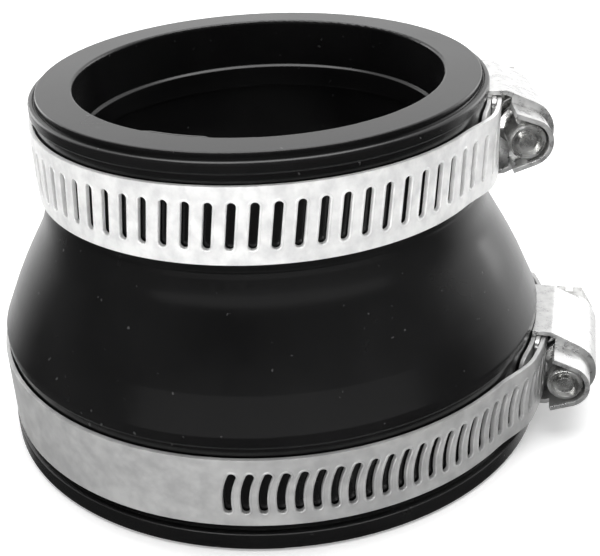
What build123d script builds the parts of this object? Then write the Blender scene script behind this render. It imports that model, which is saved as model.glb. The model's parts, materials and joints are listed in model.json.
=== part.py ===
from build123d import *
from collections import namedtuple
from math import cos, degrees, pi, radians, sin
import os

os.makedirs("parts", exist_ok=True)

# Flexible reducing pipe coupling: a moulded rubber sleeve and two worm-drive hose
# clamps. All sizes are in millimetres. Z is the pipe axis, the large end rests on
# z = 0 and the small end points up. Angles are in degrees about Z, from +X.

# Rubber sleeve
sleeve_height = 63.5
large_bore_radius = 45.25
large_bore_depth = 24.0
stop_radius = 43.2
small_bore_radius = 32.0
small_bore_depth = 9.0
sealing_rib_height = 4.0
sealing_rib_rise = 0.5
throat_height = 43.5
large_seat_radius = 49.3
small_seat_radius = 39.0
seat_half_height = 7.9
large_seat_middle = 11.5
small_seat_middle = 52.5
bottom_lip_radius = 50.5
shoulder_radius = 49.6
rim_bead_radius = 39.6
rim_face_radius = 38.3

# Clamp strip. It is one turn and a bit: an inner tongue, the turn on the seat, a
# joggle outwards, and the slotted tail that runs over the saddle under the screw.
strip_width = 12.7
strip_thickness = 0.7
strip_gap = 0.3
layer_gap = 0.15
saddle_thickness = 0.7
tongue_tip = -15.5
joggle_start = -24.0
joggle_end = -13.0
tail_tip = 21.0
tail_margin = 2.0
tip_corner_radius = 2.5
slot_length = 7.8
slot_width = 1.37
plain_side = 100.0

# Housing, one folded sheet. Lengths along the screw count from the meshing point.
sheet = 0.8
body_front, body_back = -6.0, 11.5
nose_front = -11.5
collar_back = 12.5
leg_half_width = 7.2
leg_top = 3.0
crown_height = 4.9
crown_half_width = 3.4
crown_bend = 5.2
lip_reach = 0.35
nose_radius = 3.85
nose_arc = 70
arm_length = 3.9
collar_arc = 110
bearing_radius = 3.4
saddle_front, saddle_back = -8.5, 13.0

# Worm screw
crest_radius = 4.0
root_radius = 2.8
crest_width = 0.75
thread_foot_width = 1.2
thread_engagement = 0.5
turns_before, turns_after = 1, 2
pilot_radius = 3.1
pilot_tip = -11.0
boss_radius = 1.5
groove_radius = 2.35
groove_depth = 1.2
flange_start, flange_end = 12.9, 14.1
flange_radius = 4.9
hex_across_flats = 8.0
hex_end = 18.6
driver_slot_width = 1.3
driver_slot_depth = 2.2

Clamp = namedtuple("Clamp", "name seat_radius height facing slots_per_turn lean bow first_slot")
clamps = (
    Clamp("small_clamp", small_seat_radius, small_seat_middle, -3.0, 72, 7.0, 0.0, -195),
    Clamp("large_clamp", large_seat_radius, large_seat_middle, -16.0, 111, 9.0, 0.45, -85.5),
)


def inner_layer(clamp):
    """Middle radius of the turn that lies on the rubber."""
    return clamp.seat_radius + strip_gap + strip_thickness / 2


def saddle_radius(clamp):
    """Middle radius of the saddle plate."""
    return inner_layer(clamp) + strip_thickness / 2 + layer_gap + saddle_thickness / 2


def outer_layer(clamp):
    """Middle radius of the slotted tail over the saddle."""
    return saddle_radius(clamp) + saddle_thickness / 2 + layer_gap + strip_thickness / 2


def screw_radius(clamp):
    """Distance from the pipe axis to the screw axis."""
    return outer_layer(clamp) + strip_thickness / 2 - thread_engagement + crest_radius


def screw_lead(clamp):
    """One turn of the screw feeds the strip by one slot."""
    return 2 * pi * outer_layer(clamp) / clamp.slots_per_turn


def swing(radius, along):
    """Angle of a point that lies a given arc length from the meshing point."""
    return degrees(along / radius)


def clamp_location(clamp):
    """From a clamp's own frame, X out through the housing, to the coupling's frame."""
    return Location((0, 0, clamp.height), (0, 0, clamp.facing))


def across_screw(along):
    """Plane square to the screw, its X pointing away from the pipe axis."""
    return Plane(origin=(0, along, 0), x_dir=(1, 0, 0), z_dir=(0, 1, 0))


def write(part, name):
    part.label = name
    export_step(part, f"parts/{name}.step")


def make_sleeve():
    """Revolved wall: a seat and lips at each end, joined by a bell-shaped flare."""
    large_seat_bottom = large_seat_middle - seat_half_height
    large_seat_top = large_seat_middle + seat_half_height
    small_seat_bottom = small_seat_middle - seat_half_height
    small_seat_top = small_seat_middle + seat_half_height
    rib_top = sleeve_height - small_bore_depth
    rib_bottom = rib_top - sealing_rib_height
    flare_start = (46.9, large_seat_top + 8.0)
    flare_end = (39.4, small_seat_bottom - 1.2)
    with BuildPart() as sleeve:
        with BuildSketch(Plane.XZ):
            with BuildLine():
                large_end = FilletPolyline(
                    (large_bore_radius, 0),
                    (bottom_lip_radius, 0),
                    (bottom_lip_radius, large_seat_bottom - 0.3),
                    (large_seat_radius, large_seat_bottom),
                    (large_seat_radius, large_seat_top),
                    (shoulder_radius, large_seat_top + 0.3),
                    (shoulder_radius, large_seat_top + 2.0),
                    flare_start,
                    radius=[1.0, 0.25, 0.25, 0.2, 0.2, 1.2],
                )
                flare = Spline(
                    large_end @ 1,
                    (44.8, large_seat_top + 12.1),
                    (42.5, large_seat_top + 16.1),
                    (40.4, large_seat_top + 20.1),
                    flare_end,
                    tangents=[(-0.5, 1), (-0.2, 1)],
                )
                small_end = FilletPolyline(
                    flare @ 1,
                    (flare_end[0] - 0.2, small_seat_bottom - 0.4),
                    (small_seat_radius, small_seat_bottom),
                    (small_seat_radius, small_seat_top),
                    (rim_bead_radius, small_seat_top + 0.3),
                    (rim_bead_radius, sleeve_height - 1.1),
                    (rim_face_radius + 0.5, sleeve_height - 1.0),
                    (rim_face_radius + 0.3, sleeve_height - 1.5),
                    (rim_face_radius, sleeve_height - 1.0),
                    (rim_face_radius, sleeve_height),
                    (small_bore_radius, sleeve_height),
                    (small_bore_radius, rib_top + 0.2),
                    (small_bore_radius - sealing_rib_rise, rib_top - 0.2),
                    (small_bore_radius - sealing_rib_rise, rib_bottom + 0.2),
                    (small_bore_radius, rib_bottom - 0.2),
                    (small_bore_radius, throat_height),
                    radius=[0.3, 0.4, 0.2, 0.2, 0.5, 0.1, 0.1, 0.1, 0.3, 0.5, 0.15, 0.15, 0.15, 0.15],
                )
                throat = Spline(
                    small_end @ 1,
                    (stop_radius, large_bore_depth + 1.0),
                    tangents=[(0, -1), (0.2, -1)],
                )
                Polyline(
                    throat @ 1,
                    (stop_radius, large_bore_depth),
                    (large_bore_radius, large_bore_depth),
                    (large_bore_radius, 0),
                )
            make_face()
        revolve(axis=Axis.Z)
    write(sleeve.part, "sleeve")


def strip_side(clamp, shift):
    """One side of the strip in plan, from the tongue's tip to the tail's tip.

    Its angles count from the plain side, where no slot crosses the circles' start."""
    inner = inner_layer(clamp) + shift
    outer = outer_layer(clamp) + shift
    middle = outer_layer(clamp)
    tongue = swing(middle, tongue_tip) - plain_side
    rise = 360 + swing(middle, joggle_start) - plain_side
    level = 360 + swing(middle, joggle_end) - plain_side
    tail = 360 + swing(middle, tail_tip) - plain_side
    turn = CenterArc((0, 0), inner, tongue, rise - tongue)
    over = CenterArc((0, 0), outer, level, tail - level)
    Spline(turn @ 1, over @ 0, tangents=[turn % 1, over % 0])
    return turn @ 0, over @ 1


def slot_cutter(clamp, start):
    """Cutter for the slot at the meshing point: round-ended, or bowed like a crescent."""
    with BuildPart() as cutter:
        with BuildSketch(Plane(origin=(start, 0, 0), x_dir=(0, 1, 0), z_dir=(1, 0, 0))):
            if clamp.bow:
                reach = (slot_length - slot_width) / 2
                lean = Vector(sin(radians(clamp.lean)), cos(radians(clamp.lean)))
                ends = Vector(lean.Y, -lean.X) * clamp.bow
                with BuildLine(mode=Mode.PRIVATE) as spine:
                    ThreePointArc(ends - lean * reach, (0, 0), ends + lean * reach)
                SlotArc(spine.edge(), slot_width)
            else:
                SlotOverall(slot_length, slot_width, rotation=90 - clamp.lean)
        extrude(amount=4 * strip_thickness + layer_gap)
    return cutter.part


def make_strip(clamp):
    """The clamp's spiral strip with its slots, all cut one screw lead apart."""
    middle = outer_layer(clamp)
    pitch = 360 / clamp.slots_per_turn
    first_slot = int(clamp.first_slot / pitch)
    last_slot = int(swing(middle, tail_tip - tail_margin) / pitch)
    first_over_tongue = int(swing(middle, tongue_tip - slot_width) / pitch)
    through_turn = slot_cutter(clamp, clamp.seat_radius)
    through_tail = slot_cutter(clamp, inner_layer(clamp) + strip_thickness / 2 + layer_gap)
    with BuildPart() as strip:
        with BuildSketch(Plane.XY.offset(-strip_width / 2).rotated((0, 0, plain_side))):
            with BuildLine():
                inside = strip_side(clamp, -strip_thickness / 2)
                outside = strip_side(clamp, strip_thickness / 2)
                Line(inside[0], outside[0])
                Line(inside[1], outside[1])
            make_face()
        extrude(amount=strip_width)
        tips = strip.edges().filter_by(GeomType.LINE).filter_by(lambda e: e.length < 2 * strip_thickness)
        fillet(tips, radius=tip_corner_radius)
        for number in range(first_slot, last_slot + 1):
            cutter = through_turn if number < first_over_tongue else through_tail
            add(cutter, rotation=(0, 0, number * pitch), mode=Mode.SUBTRACT)
    write(strip.part.moved(clamp_location(clamp)), f"{clamp.name}_band")


def make_saddle(clamp):
    """Curved plate that carries the housing and keeps the tail off the tongue."""
    radius = saddle_radius(clamp)
    front, back = swing(radius, saddle_front), swing(radius, saddle_back)
    with BuildPart() as saddle:
        with BuildSketch(Plane.XZ.rotated((0, 0, front))):
            with Locations((radius, 0)):
                Rectangle(saddle_thickness, 2 * leg_half_width - sheet - 0.2)
        revolve(axis=Axis.Z, revolution_arc=back - front)
        corners = saddle.edges().filter_by(GeomType.LINE).filter_by(lambda e: e.length < 2 * saddle_thickness)
        fillet(corners, radius=1.5)
    write(saddle.part.moved(clamp_location(clamp)), f"{clamp.name}_saddle")


def make_housing(clamp):
    """Folded sheet over the screw: legs, dome, end walls, nose, collar and lips."""
    axis_x = screw_radius(clamp)
    leg_x = clamp.seat_radius + leg_top
    crown_x = axis_x + crown_height
    lip_inside = clamp.seat_radius + strip_gap
    lip_outside = inner_layer(clamp) + strip_thickness / 2 + layer_gap / 3
    wall_x = axis_x - 2.2
    leg_slope = (leg_half_width - crown_half_width) / (crown_x - leg_x)
    wall_half_width = leg_half_width - leg_slope * (wall_x - leg_x)
    lip_front = swing(lip_outside, body_front)
    lip_back = swing(lip_outside, body_back)
    with BuildPart() as housing:
        with BuildSketch(across_screw(body_front)):
            with BuildLine():
                FilletPolyline(
                    (lip_inside - 3, leg_half_width),
                    (leg_x, leg_half_width),
                    (crown_x, crown_half_width),
                    (crown_x, -crown_half_width),
                    (leg_x, -leg_half_width),
                    (lip_inside - 3, -leg_half_width),
                    radius=[1.2, crown_bend, crown_bend, 1.2],
                )
            trace(line_width=sheet)
        extrude(amount=body_back - body_front)
        for end, depth in ((body_front, sheet), (body_back, -sheet)):
            with BuildSketch(across_screw(end)):
                with BuildLine():
                    wall = FilletPolyline(
                        (wall_x, wall_half_width),
                        (crown_x, crown_half_width),
                        (crown_x, -crown_half_width),
                        (wall_x, -wall_half_width),
                        radius=[crown_bend, crown_bend],
                    )
                    Line(wall @ 1, wall @ 0)
                make_face()
                with Locations((axis_x, 0)):
                    Circle(bearing_radius, mode=Mode.SUBTRACT)
                with Locations((axis_x - bearing_radius, 0)):
                    Rectangle(2 * bearing_radius, 2 * bearing_radius, mode=Mode.SUBTRACT)
            extrude(amount=depth)
        with BuildSketch(across_screw(nose_front)):
            with BuildLine():
                nose = CenterArc((axis_x, 0), nose_radius, -nose_arc, 2 * nose_arc)
                Line(nose @ 1, nose @ 1 + (nose % 1) * arm_length)
                Line(nose @ 0, nose @ 0 - (nose % 0) * arm_length)
            trace(line_width=sheet)
        extrude(amount=body_front + sheet / 2 - nose_front)
        with BuildSketch(across_screw(body_back - sheet / 2)):
            with BuildLine():
                CenterArc((axis_x, 0), nose_radius, -collar_arc, 2 * collar_arc)
            trace(line_width=sheet)
        extrude(amount=collar_back - body_back + sheet / 2)
        Cylinder(lip_inside, 4 * leg_half_width, mode=Mode.SUBTRACT)
        with BuildSketch(Plane.XZ.rotated((0, 0, lip_front))):
            for side in (1, -1):
                with Locations(((lip_inside + lip_outside) / 2, side * (leg_half_width - lip_reach))):
                    Rectangle(lip_outside - lip_inside, sheet)
        revolve(axis=Axis.Z, revolution_arc=lip_back - lip_front)
    write(housing.part.moved(clamp_location(clamp)), f"{clamp.name}_housing")


def make_screw(clamp):
    """Right-hand worm with a pilot tip in the nose and a slotted hexagon head."""
    lead = screw_lead(clamp)
    thread_start = -turns_before * lead
    with BuildPart() as screw:
        with BuildLine():
            helix = Helix(lead, (turns_before + turns_after) * lead, root_radius, center=(0, 0, thread_start))
        with BuildSketch(Plane(origin=helix @ 0, x_dir=(1, 0, 0), z_dir=helix % 0)):
            Polygon(
                (-0.3, -thread_foot_width / 2),
                (crest_radius - root_radius, -crest_width / 2),
                (crest_radius - root_radius, crest_width / 2),
                (-0.3, thread_foot_width / 2),
                align=None,
            )
        sweep(path=helix, is_frenet=True)
        with BuildSketch(Plane.XZ):
            with BuildLine():
                Polyline(
                    (0, pilot_tip),
                    (boss_radius, pilot_tip),
                    (boss_radius, pilot_tip + groove_depth),
                    (groove_radius, pilot_tip + groove_depth),
                    (groove_radius, pilot_tip),
                    (pilot_radius - 0.3, pilot_tip),
                    (pilot_radius, pilot_tip + 0.3),
                    (pilot_radius, body_front + sheet),
                    (root_radius, body_front + sheet + 0.4),
                    (root_radius, body_back - sheet - 0.4),
                    (pilot_radius, body_back - sheet),
                    (pilot_radius, flange_start),
                    (flange_radius, flange_start),
                    (flange_radius, flange_end - 0.4),
                    (flange_radius - 0.4, flange_end),
                    (0, flange_end),
                    close=True,
                )
            make_face()
        revolve(axis=Axis.Z)
        with BuildSketch(Plane.XY.offset(flange_end)):
            RegularPolygon(hex_across_flats / 2, 6, major_radius=False)
        extrude(amount=hex_end - flange_end)
        chamfer(screw.faces().sort_by(Axis.Z)[-1].edges(), length=0.4)
        with BuildSketch(Plane.XY.offset(hex_end)):
            Rectangle(driver_slot_width, 2 * hex_across_flats)
        extrude(amount=-driver_slot_depth, mode=Mode.SUBTRACT)
    seat = Plane(origin=(screw_radius(clamp), 0, 0), x_dir=(-1, 0, 0), z_dir=(0, 1, 0))
    write(screw.part.moved(clamp_location(clamp) * seat.location), f"{clamp.name}_screw")


make_sleeve()
for clamp in clamps:
    make_strip(clamp)
    make_saddle(clamp)
    make_housing(clamp)
    make_screw(clamp)
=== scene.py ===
import json
from math import atan2, cos, pi, radians, sin

import bpy
from mathutils import Matrix, Vector
from mathutils.bvhtree import BVHTree


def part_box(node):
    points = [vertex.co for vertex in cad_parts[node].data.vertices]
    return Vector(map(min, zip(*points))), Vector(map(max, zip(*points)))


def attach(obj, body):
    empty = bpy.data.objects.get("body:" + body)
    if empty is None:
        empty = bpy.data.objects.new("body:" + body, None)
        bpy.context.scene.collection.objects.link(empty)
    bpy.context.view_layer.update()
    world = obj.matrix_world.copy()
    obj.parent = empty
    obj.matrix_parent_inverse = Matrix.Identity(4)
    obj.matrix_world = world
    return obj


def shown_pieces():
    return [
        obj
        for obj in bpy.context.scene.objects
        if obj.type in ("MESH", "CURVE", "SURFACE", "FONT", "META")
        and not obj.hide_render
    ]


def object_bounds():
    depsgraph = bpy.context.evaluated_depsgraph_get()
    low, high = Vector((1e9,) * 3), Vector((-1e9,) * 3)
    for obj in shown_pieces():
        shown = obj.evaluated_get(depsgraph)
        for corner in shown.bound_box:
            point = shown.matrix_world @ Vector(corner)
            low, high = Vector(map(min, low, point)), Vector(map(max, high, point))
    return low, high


# The looks of a rubber reducing pipe coupling with two worm-drive clamps. Lengths are
# in metres, and angles given as numbers are in degrees, unless a comment says otherwise.
MM = 0.001

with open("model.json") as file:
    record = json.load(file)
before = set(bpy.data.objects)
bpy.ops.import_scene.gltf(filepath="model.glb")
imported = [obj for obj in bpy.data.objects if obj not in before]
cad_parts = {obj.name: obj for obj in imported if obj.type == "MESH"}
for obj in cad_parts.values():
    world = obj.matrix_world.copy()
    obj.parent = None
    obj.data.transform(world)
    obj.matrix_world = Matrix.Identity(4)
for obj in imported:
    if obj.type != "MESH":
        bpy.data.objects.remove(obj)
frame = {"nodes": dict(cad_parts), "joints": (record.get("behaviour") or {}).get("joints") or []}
cad_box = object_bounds()
nodes = frame["nodes"]

# Camera: orbits the pipe axis, then pans, tilts and rolls a little, as it was hand held.
# The lens and the sensor are in millimetres.
LENS, SENSOR_WIDTH = 66.7, 36.0
DISTANCE = 201.9 * MM
NEAREST = 10 * MM
LOOK_HEIGHT = 46.1 * MM
ELEVATION, PAN, TILT, ROLL = 22.07, -1.48, -5.97, 3.42

# Slots of the clamp strips, as the CAD has them: how many to a full turn, how far each
# one leans, and how far its ends bow. The first and last slot are those that get a lip,
# as angles from the meshing point of the screw.
SLOT_LENGTH, SLOT_WIDTH = 7.8 * MM, 1.37 * MM
CLAMPS = {
    "small_clamp": dict(slots=72, lean=7.0, bow=0.0, first_slot=-195, last_slot=-30),
    "large_clamp": dict(slots=111, lean=9.0, bow=0.45 * MM, first_slot=-85.5, last_slot=-17),
}

# The lip round a slot, in millimetres: out from the slot's edge, and up from the strip.
LIP_PROFILE = [(0.06, -0.12), (0.06, 0.03), (0.2, 0.09), (0.38, 0.06), (0.55, -0.12)]
RAY_CLEARANCE = 5 * MM

# The strips' textures are laid out flat, as if both were wound at this radius.
TEXTURE_RADIUS = 45 * MM

# Studio: the point that the lamps aim at, the direction in which the sky is brightest,
# and half the side of the floor.
MIDDLE = (0, 0, 30 * MM)
BRIGHTEST = (0.2, 0.88, 0.42)
FLOOR_HALF = 30.0

# The Mix node has several sockets called A, B and Result; these are the coloured ones.
MIX_A, MIX_B, MIX_RESULT = 6, 7, 2


# ---------------------------------------------------------------- small helpers

def link(obj):
    bpy.context.scene.collection.objects.link(obj)
    return obj


def mesh_piece(name, points, faces, material, body):
    """A smooth-shaded mesh that rides on a CAD body."""
    mesh = bpy.data.meshes.new(name)
    mesh.from_pydata([tuple(p) for p in points], [], faces)
    mesh.update()
    mesh.shade_smooth()
    mesh.materials.append(material)
    piece = link(bpy.data.objects.new(name, mesh))
    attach(piece, body)
    return piece


def ring_faces(rings, around, first=0, closed=True):
    """Quads between rings of points, and back to the first ring if closed."""
    faces = []
    for i in range(rings if closed else rings - 1):
        near = first + i * around
        far = first + (i + 1) % rings * around
        for k in range(around):
            after = (k + 1) % around
            faces.append((near + k, near + after, far + after, far + k))
    return faces


class Nodes:
    """Short way to build a material's node tree."""

    def __init__(self, name):
        self.material = bpy.data.materials.new(name)
        self.material.use_nodes = True
        self.tree = self.material.node_tree
        self.shader = self.tree.nodes["Principled BSDF"]

    def add(self, kind, inputs=None, **settings):
        node = self.tree.nodes.new(kind)
        for key, value in settings.items():
            setattr(node, key, value)
        for key, value in (inputs or {}).items():
            self.feed(node.inputs[key], value)
        return node

    def feed(self, socket, value):
        """Links a socket to another node's output, or sets it to a plain value."""
        if isinstance(value, bpy.types.NodeSocket):
            self.tree.links.new(value, socket)
        else:
            socket.default_value = value

    def shade(self, **inputs):
        """Feeds the shader, with names such as base_color for its sockets."""
        for key, value in inputs.items():
            socket = key.replace("_", " ").title().replace("Ior", "IOR")
            self.feed(self.shader.inputs[socket], value)

    def place(self):
        return self.add("ShaderNodeTexCoord").outputs["Object"]

    def scaled(self, vector, scale):
        return self.add("ShaderNodeMapping", {"Vector": vector, "Scale": scale}).outputs[0]

    def noise(self, vector, scale, detail, rough=0.55):
        inputs = {"Vector": vector, "Scale": scale, "Detail": detail, "Roughness": rough}
        return self.add("ShaderNodeTexNoise", inputs).outputs["Fac"]

    def remap(self, value, low, high, from_low=0.3, from_high=0.7):
        inputs = {"Value": value, "From Min": from_low, "From Max": from_high}
        inputs.update({"To Min": low, "To Max": high})
        return self.add("ShaderNodeMapRange", inputs).outputs["Result"]

    def math(self, operation, a, b=0.0):
        node = self.add("ShaderNodeMath", operation=operation)
        self.feed(node.inputs[0], a)
        self.feed(node.inputs[1], b)
        return node.outputs[0]

    def ramp(self, value, low, high, from_low=0.3, from_high=0.7):
        node = self.add("ShaderNodeValToRGB", {"Fac": value})
        ends = node.color_ramp.elements
        ends[0].position, ends[1].position = from_low, from_high
        ends[0].color, ends[1].color = (*low, 1), (*high, 1)
        return node.outputs["Color"]

    def mix(self, share, a, b):
        node = self.add("ShaderNodeMix", {"Factor": share}, data_type="RGBA")
        self.feed(node.inputs[MIX_A], a)
        self.feed(node.inputs[MIX_B], b)
        return node.outputs[MIX_RESULT]

    def bump(self, height, strength, distance, normal):
        inputs = {"Height": height, "Strength": strength, "Distance": distance}
        return self.add("ShaderNodeBump", {**inputs, "Normal": normal}).outputs["Normal"]

    def rounded_edges(self, radius):
        return self.add("ShaderNodeBevel", {"Radius": radius}, samples=4).outputs["Normal"]

    def around_pipe(self):
        """Object coordinates turned into length around the axis, radius and height."""
        axes = self.add("ShaderNodeSeparateXYZ", {"Vector": self.place()})
        x, y, z = axes.outputs
        length = self.math("MULTIPLY", self.math("ARCTAN2", y, x), TEXTURE_RADIUS)
        squares = self.math("POWER", x, 2.0), self.math("POWER", y, 2.0)
        radius = self.math("SQRT", self.math("ADD", *squares))
        return self.add("ShaderNodeCombineXYZ", {"X": length, "Y": radius, "Z": z}).outputs[0]


# ---------------------------------------------------------------- materials

def steel_tones(bright, dark_share):
    """A neutral dark tone and a very slightly warm light one."""
    return (bright * dark_share,) * 3, (bright, bright, bright * 0.99)


def rubber_material():
    """Moulded EPDM rubber: near black, faint cloudy bloom, fine mould grain and dust."""
    n = Nodes("black_rubber")
    place = n.place()
    bloom = n.noise(place, scale=60.0, detail=5.0)
    grain = n.noise(place, scale=2600.0, detail=2.0)
    dust = n.noise(place, scale=900.0, detail=2.0, rough=0.4)
    specks = n.remap(dust, 0.0, 1.0, from_low=0.745, from_high=0.77)
    cloud = n.ramp(bloom, (0.006, 0.006, 0.0062), (0.011, 0.011, 0.0112))
    faint = n.math("MULTIPLY", specks, 0.35)
    edges = n.rounded_edges(0.25 * MM)
    n.shade(
        base_color=n.mix(faint, cloud, (0.2, 0.2, 0.2, 1)),
        roughness=n.remap(bloom, 0.2, 0.28),
        specular_ior_level=0.5,
        normal=n.bump(grain, strength=0.06, distance=0.03 * MM, normal=edges),
    )
    return n.material


def band_material(name, bright, satin, metallic):
    """Rolled strip: fine lines along its length, cloudy mottle and softened edges."""
    n = Nodes(name)
    around = n.around_pipe()
    lines = n.noise(n.scaled(around, (60.0, 60.0, 5200.0)), scale=1.0, detail=3.0)
    mottle = n.noise(around, scale=420.0, detail=4.0)
    stains = n.noise(around, scale=110.0, detail=5.0)
    tone = n.math("ADD", n.math("MULTIPLY", mottle, 0.6), n.math("MULTIPLY", stains, 0.4))
    dark, light = steel_tones(bright, 0.82)
    edges = n.rounded_edges(0.12 * MM)
    rolled = n.bump(lines, strength=0.1, distance=0.02 * MM, normal=edges)
    n.shade(
        base_color=n.ramp(tone, dark, light, 0.4, 0.6),
        metallic=metallic,
        roughness=n.remap(tone, satin - 0.06, satin + 0.06, 0.4, 0.6),
        normal=n.bump(mottle, strength=0.12, distance=0.03 * MM, normal=rolled),
    )
    return n.material


def housing_material(name, bright):
    """Pressed sheet: bright, gently dented and mottled, with rolled-over edges; how bright is
    given per clamp, as painted light on the small clamp and painted shade on the large one.
    """
    n = Nodes(name)
    place = n.place()
    mottle = n.noise(place, scale=620.0, detail=5.0)
    dents = n.noise(place, scale=160.0, detail=2.0)
    dark, light = steel_tones(bright, 0.8)
    edges = n.rounded_edges(0.18 * MM)
    worn = n.bump(dents, strength=0.2, distance=0.2 * MM, normal=edges)
    n.shade(
        base_color=n.ramp(mottle, dark, light, 0.38, 0.62),
        metallic=0.8,
        roughness=n.remap(mottle, 0.24, 0.4, 0.38, 0.62),
        normal=n.bump(mottle, strength=0.1, distance=0.04 * MM, normal=worn),
    )
    return n.material


def screw_material():
    """Turned and rolled screw: polished, with fine marks and a dark oil film."""
    n = Nodes("screw_steel")
    place = n.place()
    marks = n.noise(place, scale=1500.0, detail=3.0)
    film = n.noise(place, scale=300.0, detail=3.0)
    edges = n.rounded_edges(0.15 * MM)
    n.shade(
        base_color=n.ramp(film, (0.42, 0.42, 0.41), (0.72, 0.72, 0.71), 0.4, 0.6),
        metallic=0.9,
        roughness=n.remap(film, 0.2, 0.34, 0.4, 0.6),
        normal=n.bump(marks, strength=0.15, distance=0.02 * MM, normal=edges),
    )
    return n.material


def floor_material():
    """Matt pale grey with a faint glow, which keeps the floor near white."""
    n = Nodes("pale_floor")
    shade = n.noise(n.place(), scale=3.0, detail=2.0)
    n.shade(
        base_color=n.ramp(shade, (0.86, 0.86, 0.86), (0.88, 0.88, 0.88)),
        roughness=0.8,
        specular_ior_level=0.0,
        emission_color=(1, 1, 1, 1),
        emission_strength=0.35,
    )
    return n.material


# ---------------------------------------------------------------- added detail

def slot_outline(length, width, lean, bow, steps=20):
    """Points (along, up) and outward directions round one slot of the strip."""
    reach = (length - width) / 2
    up = Vector((sin(radians(lean)), cos(radians(lean))))
    side = Vector((up.y, -up.x))
    outline = []
    for flank in (1, -1):
        for k in range(steps + 1):
            s = flank * (2 * k / steps - 1)
            centre = up * s * reach + side * bow * s * s
            slope = (up * reach + side * 2 * bow * s).normalized()
            out = Vector((slope.y, -slope.x)) * flank
            outline.append((centre + out * width / 2, out))
        end = up * flank * reach + side * bow
        slope = (up * reach * flank + side * 2 * bow).normalized()
        across = Vector((slope.y, -slope.x))
        for k in range(1, steps // 2):
            turn = pi * k / (steps // 2)
            out = across * cos(turn) + slope * sin(turn)
            outline.append((end + out * width / 2, out))
    return outline


def slot_rims(name, clamp, material):
    """The coined lips round a strip's slots, laid on the strip's own surface."""
    band = nodes[f"{name}_band"]
    surface = BVHTree.FromObject(band, bpy.context.evaluated_depsgraph_get())
    low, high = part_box(f"{name}_band")
    height = (low.z + high.z) / 2
    screw_turn = next(j for j in frame["joints"] if j["name"] == f"{name}_screw_turn")
    facing = atan2(-screw_turn["axis"][0], screw_turn["axis"][1])
    outline = slot_outline(SLOT_LENGTH, SLOT_WIDTH, clamp["lean"], clamp["bow"])
    pitch = 360 / clamp["slots"]
    first_number = int(clamp["first_slot"] / pitch)
    last_number = int(clamp["last_slot"] / pitch)
    points, faces = [], []
    for number in range(first_number, last_number + 1):
        turn = Matrix.Rotation(radians(number * pitch) + facing, 3, "Z")
        outward = turn @ Vector((1, 0, 0))
        faces += ring_faces(len(outline), len(LIP_PROFILE), first=len(points))
        for edge, out in outline:
            for offset, lift in LIP_PROFILE:
                flat = edge + out * offset * MM
                outside = turn @ Vector((high.x + RAY_CLEARANCE, flat.x, 0))
                start = outside + Vector((0, 0, height + flat.y))
                hit = surface.ray_cast(start, -outward)[0]
                points.append(hit + outward * lift * MM)
    return mesh_piece(f"{name}_slot_rims", points, faces, material, f"{name}_band")


def flash(name, material, radius, height, start, end, width, thickness):
    """A sliver of moulding flash along an arc, tapered almost to nothing at both ends."""
    along, around = 40, 10
    thinnest = 0.02
    points = []
    for i in range(along):
        share = i / (along - 1)
        # It swells over the first sixth of the arc, and shrinks over the last fourteenth.
        swell = min(1.0, 6 * share) * min(1.0, 14 * (1 - share)) + thinnest
        angle = radians(start + (end - start) * share)
        for k in range(around):
            turn = 2 * pi * k / around
            r = radius + width / 2 * swell * cos(turn)
            z = height + thickness / 2 * swell * sin(turn)
            points.append((r * cos(angle), r * sin(angle), z))
    faces = ring_faces(along, around, closed=False)
    faces.append(tuple(range(around)))
    faces.append(tuple(reversed(range(len(points) - around, len(points)))))
    return mesh_piece(name, points, faces, material, "sleeve")


# ---------------------------------------------------------------- setting

def camera():
    lens = bpy.data.cameras.new("camera")
    lens.sensor_width = SENSOR_WIDTH
    lens.lens = LENS
    lens.clip_start = NEAREST
    rise = radians(ELEVATION)
    place = Vector((0, -DISTANCE * cos(rise), DISTANCE * sin(rise)))
    ahead = -place.normalized()
    right = Vector((1, 0, 0))
    up = right.cross(ahead)
    pan = Matrix.Rotation(radians(PAN), 3, up)
    ahead, right = pan @ ahead, pan @ right
    tilt = Matrix.Rotation(radians(TILT), 3, right)
    ahead, up = tilt @ ahead, tilt @ up
    roll = Matrix.Rotation(radians(ROLL), 3, ahead)
    right, up = roll @ right, roll @ up
    eye = link(bpy.data.objects.new("camera", lens))
    turned = Matrix((right, up, -ahead)).transposed().to_4x4()
    eye.matrix_world = Matrix.Translation(place + Vector((0, 0, LOOK_HEIGHT))) @ turned
    bpy.context.scene.camera = eye


def softbox(name, place, size, power):
    """A rectangular area lamp that aims at the middle of the coupling."""
    lamp = bpy.data.lights.new(name, "AREA")
    lamp.shape = "RECTANGLE"
    lamp.size, lamp.size_y = size
    lamp.energy = power
    box = link(bpy.data.objects.new(name, lamp))
    box.location = place
    box.rotation_euler = (Vector(MIDDLE) - Vector(place)).to_track_quat("-Z", "Y").to_euler()
    box.visible_camera = False
    return box


def steel_only(lamp):
    """Keeps a lamp off the rubber, which would mirror it."""
    steel = bpy.data.collections.new("steel")
    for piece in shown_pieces():
        if piece.name != "sleeve" and "flash" not in piece.name:
            steel.objects.link(piece)
    lamp.light_linking.receiver_collection = steel


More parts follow.
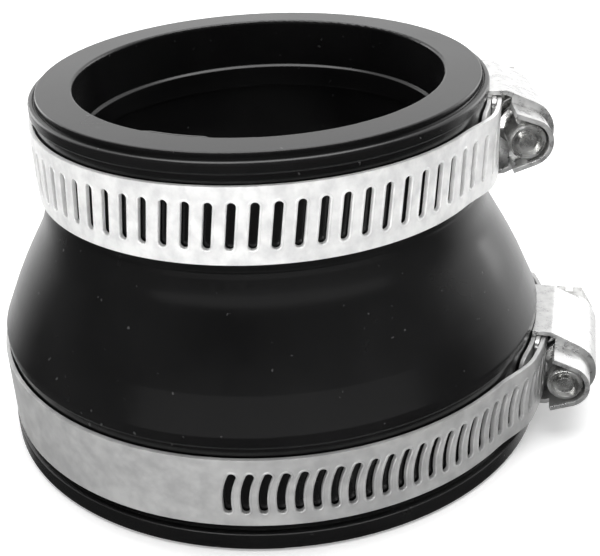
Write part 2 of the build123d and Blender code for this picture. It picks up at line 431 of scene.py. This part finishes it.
def sky():
    """World light that is bright above and behind and dark in front."""
    world = bpy.data.worlds.new("studio")
    bpy.context.scene.world = world
    world.use_nodes = True
    tree = world.node_tree
    direction = tree.nodes.new("ShaderNodeTexCoord").outputs["Generated"]
    towards = tree.nodes.new("ShaderNodeVectorMath")
    towards.operation = "DOT_PRODUCT"
    towards.inputs[1].default_value = BRIGHTEST
    tree.links.new(direction, towards.inputs[0])
    ramp = tree.nodes.new("ShaderNodeValToRGB")
    ramp.color_ramp.interpolation = "EASE"
    tree.links.new(towards.outputs["Value"], ramp.inputs["Fac"])
    dark, bright = ramp.color_ramp.elements
    dark.position, dark.color = 0.1, (0.05, 0.05, 0.05, 1)
    bright.position, bright.color = 0.6, (1.15, 1.15, 1.15, 1)
    tree.links.new(ramp.outputs["Color"], tree.nodes["Background"].inputs["Color"])


def lamps():
    softbox("top", place=(0.0, 0.0, 0.9), size=(0.9, 0.9), power=9)
    softbox("front", place=(0.0, -1.0, 0.16), size=(3.0, 0.3), power=1.0)
    steel_front = softbox("steel_front", place=(-0.35, -0.9, 0.14), size=(0.9, 0.16), power=5)
    steel_only(steel_front)
    softbox("right", place=(0.85, 0.62, 0.28), size=(0.5, 0.6), power=1.5)
    softbox("left", place=(-0.7, 0.75, 0.3), size=(0.4, 0.6), power=1.5)


def floor():
    """A wide floor under the coupling that glossy pieces don't mirror."""
    height = cad_box[0].z
    corners = [(-1, -1), (1, -1), (1, 1), (-1, 1)]
    points = [(x * FLOOR_HALF, y * FLOOR_HALF, height) for x, y in corners]
    mesh = bpy.data.meshes.new("floor")
    mesh.from_pydata(points, [], [(0, 1, 2, 3)])
    mesh.materials.append(floor_material())
    ground = link(bpy.data.objects.new("floor", mesh))
    ground.visible_glossy = False


# ---------------------------------------------------------------- the coupling

rubber = rubber_material()
# Both strips are the same steel: the small strip's near-white tone and low metallic are painted
# light, and the large strip's darker tone is painted shade.
bands = {
    "small_clamp": band_material("painted_light_band", bright=0.98, satin=0.34, metallic=0.3),
    "large_clamp": band_material("satin_painted_shade_band", bright=0.62, satin=0.42, metallic=0.5),
}
# Both housings are the same steel: the small housing's brighter tone is painted light, and the
# large housing's darker tone is painted shade.
housings = {
    "small_clamp": housing_material("painted_light_housing", bright=0.82),
    "large_clamp": housing_material("painted_shade_housing", bright=0.66),
}
screw = screw_material()

nodes["sleeve"].data.materials[0] = rubber
for name, clamp in CLAMPS.items():
    nodes[f"{name}_band"].data.materials[0] = bands[name]
    nodes[f"{name}_housing"].data.materials[0] = housings[name]
    nodes[f"{name}_saddle"].data.materials[0] = housings[name]
    nodes[f"{name}_screw"].data.materials[0] = screw
    slot_rims(name, clamp, bands[name])

rim_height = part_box("sleeve")[1].z
flash(
    "bore_flash",
    rubber,
    radius=31.8 * MM,
    height=rim_height - 0.35 * MM,
    start=-126,
    end=-104,
    width=1.1 * MM,
    thickness=0.5 * MM,
)

camera()
sky()
lamps()
floor()
bpy.context.scene.view_settings.view_transform = "Standard"
